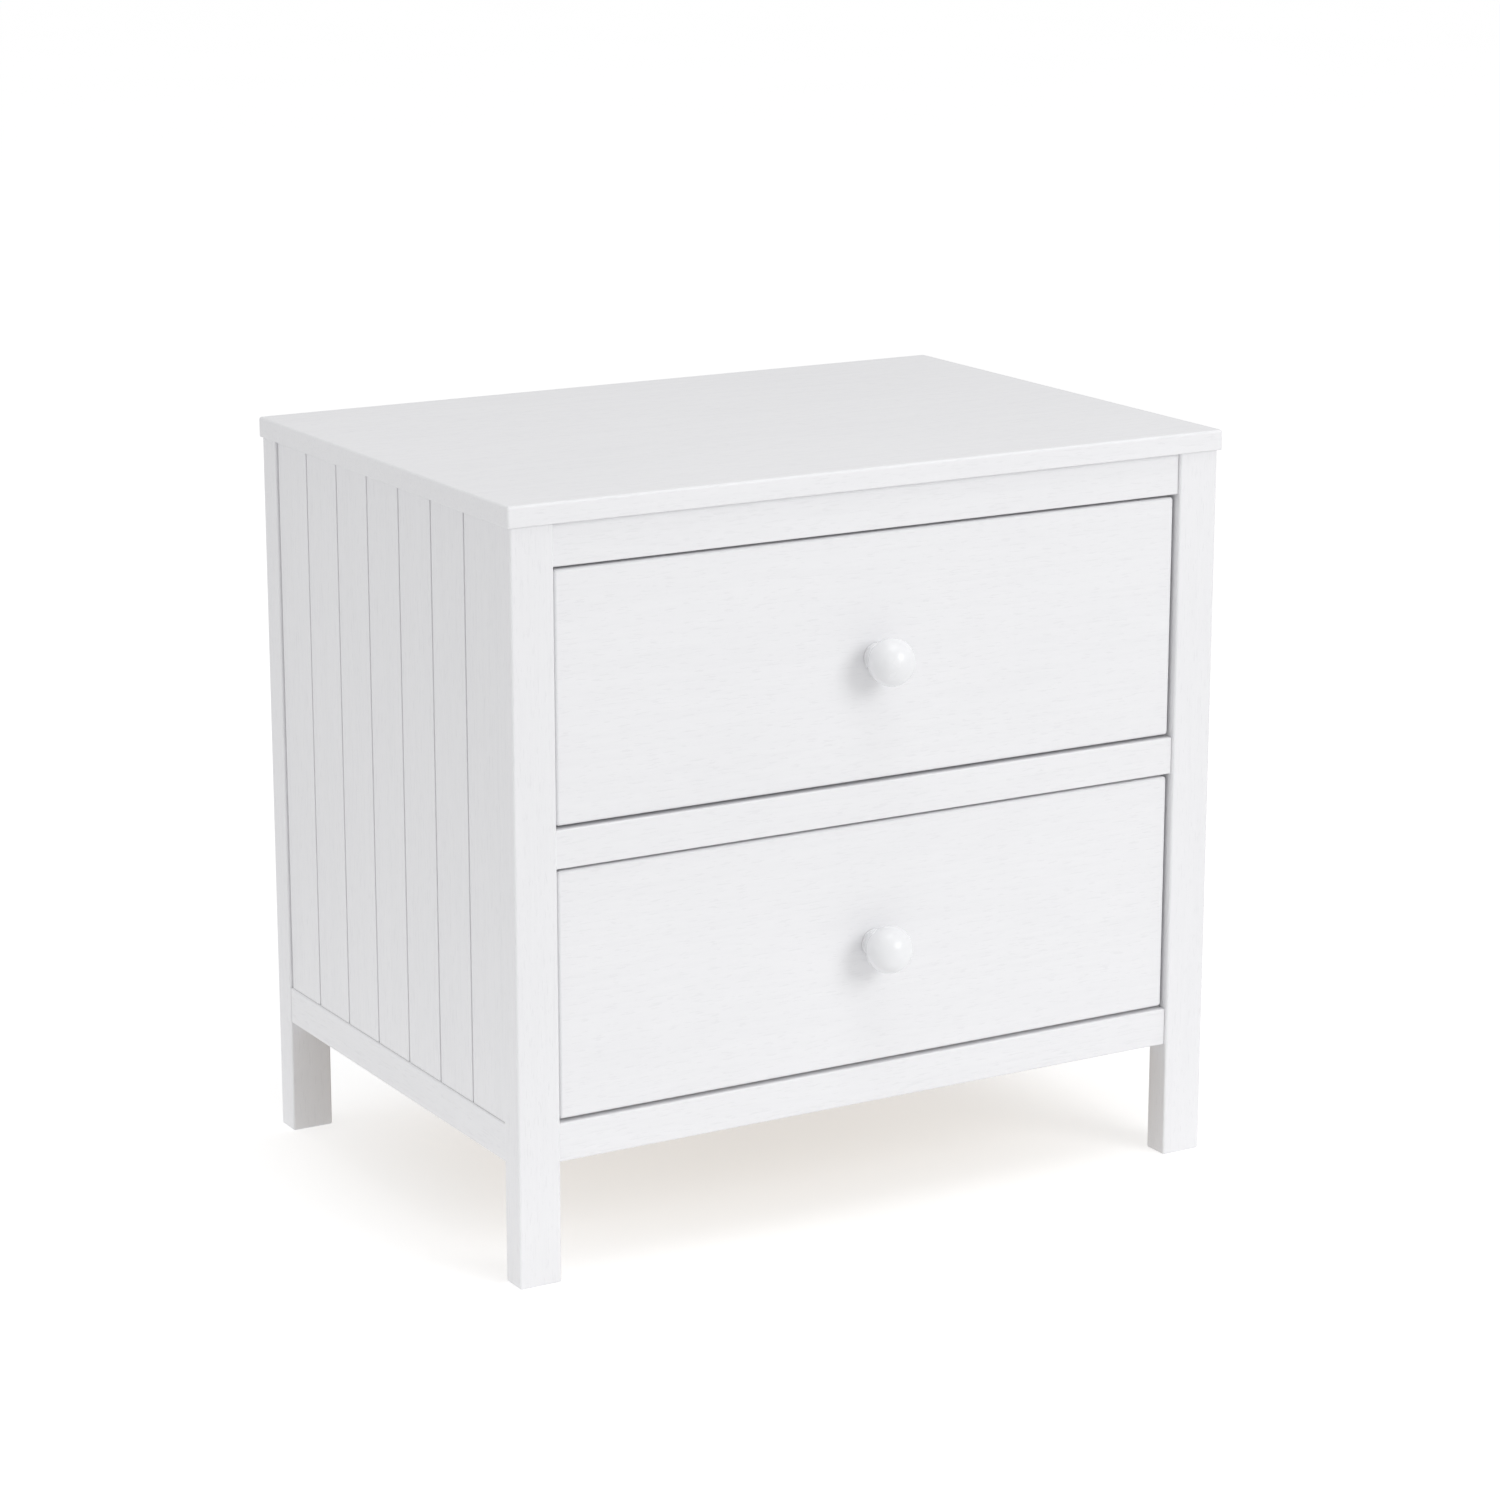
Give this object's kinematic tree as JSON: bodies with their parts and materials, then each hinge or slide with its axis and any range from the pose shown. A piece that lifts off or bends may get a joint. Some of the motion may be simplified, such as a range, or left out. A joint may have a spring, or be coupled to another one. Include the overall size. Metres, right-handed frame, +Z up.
{
  "type": "nightstand with drawers",
  "caption": "White painted wood nightstand: legged case with plank side panels, overhanging top and inset drawers with round knobs on ball-bearing slides.",
  "frame": {"origin": "on the floor, in the middle of the whole outline's width and depth, knobs included", "axes": "+Z up; the drawers face -Y and open along -Y; +X to the right as seen from the front"},
  "size_m": [0.635, 0.4724, 0.6015],
  "materials": {
    "white_paint": "satin white paint over wire-brushed wood, fine grain showing as relief",
    "white_gloss_paint": "smooth semi-gloss white paint on turned wood",
    "back_board": "thin white painted back board, matt",
    "drawer_pine": "clear lacquered pine",
    "drawer_plywood": "thin plywood, clear lacquered",
    "zinc_steel": "bright zinc plated steel"
  },
  "bodies": {
    "case": {"back_panel": "back_board", "front_rail_bottom": "white_paint", "front_rail_middle": "white_paint", "front_rail_top": "white_paint", "leg_front_left": "white_paint", "leg_front_right": "white_paint", "leg_rear_left": "white_paint", "leg_rear_right": "white_paint", "rear_rail_bottom": "white_paint", "rear_rail_top": "white_paint", "side_panel_left": "white_paint", "side_panel_right": "white_paint", "side_rail_left": "white_paint", "side_rail_right": "white_paint", "slide_batten_lower_left": "white_paint", "slide_batten_lower_right": "white_paint", "slide_batten_upper_left": "white_paint", "slide_batten_upper_right": "white_paint", "slide_case_lower_left": "zinc_steel", "slide_case_lower_right": "zinc_steel", "slide_case_upper_left": "zinc_steel", "slide_case_upper_right": "zinc_steel", "top_batten_left": "white_paint", "top_batten_right": "white_paint", "top_panel": "white_paint", "top_screw_front_left": "zinc_steel", "top_screw_front_right": "zinc_steel", "top_screw_rear_left": "zinc_steel", "top_screw_rear_right": "zinc_steel"},
    "drawer_upper": {"drawer_upper_back": "drawer_pine", "drawer_upper_bottom": "drawer_plywood", "drawer_upper_front": "white_paint", "drawer_upper_side_left": "drawer_pine", "drawer_upper_side_right": "drawer_pine", "knob_screw_upper": "zinc_steel", "knob_upper": "white_gloss_paint", "slide_drawer_upper_left": "zinc_steel", "slide_drawer_upper_right": "zinc_steel"},
    "slide_middle_upper": {"slide_middle_upper_left": "zinc_steel", "slide_middle_upper_right": "zinc_steel"},
    "drawer_lower": {"drawer_lower_back": "drawer_pine", "drawer_lower_bottom": "drawer_plywood", "drawer_lower_front": "white_paint", "drawer_lower_side_left": "drawer_pine", "drawer_lower_side_right": "drawer_pine", "knob_lower": "white_gloss_paint", "knob_screw_lower": "zinc_steel", "slide_drawer_lower_left": "zinc_steel", "slide_drawer_lower_right": "zinc_steel"},
    "slide_middle_lower": {"slide_middle_lower_left": "zinc_steel", "slide_middle_lower_right": "zinc_steel"}
  },
  "joints": [
    {"name": "drawer_upper_slide", "type": "slide", "parent": "case", "child": "drawer_upper", "axis": [0, -1, 0], "range_m": [0, 0.38]},
    {"name": "slide_middle_upper_run", "type": "slide", "parent": "case", "child": "slide_middle_upper", "axis": [0, -1, 0], "range_m": [0, 0.19]},
    {"name": "drawer_lower_slide", "type": "slide", "parent": "case", "child": "drawer_lower", "axis": [0, -1, 0], "range_m": [0, 0.38]},
    {"name": "slide_middle_lower_run", "type": "slide", "parent": "case", "child": "slide_middle_lower", "axis": [0, -1, 0], "range_m": [0, 0.19]}
  ],
  "couplings": [
    {"joint": "slide_middle_upper_run", "follows": "drawer_upper_slide", "ratio": 0.5},
    {"joint": "slide_middle_lower_run", "follows": "drawer_lower_slide", "ratio": 0.5}
  ]
}
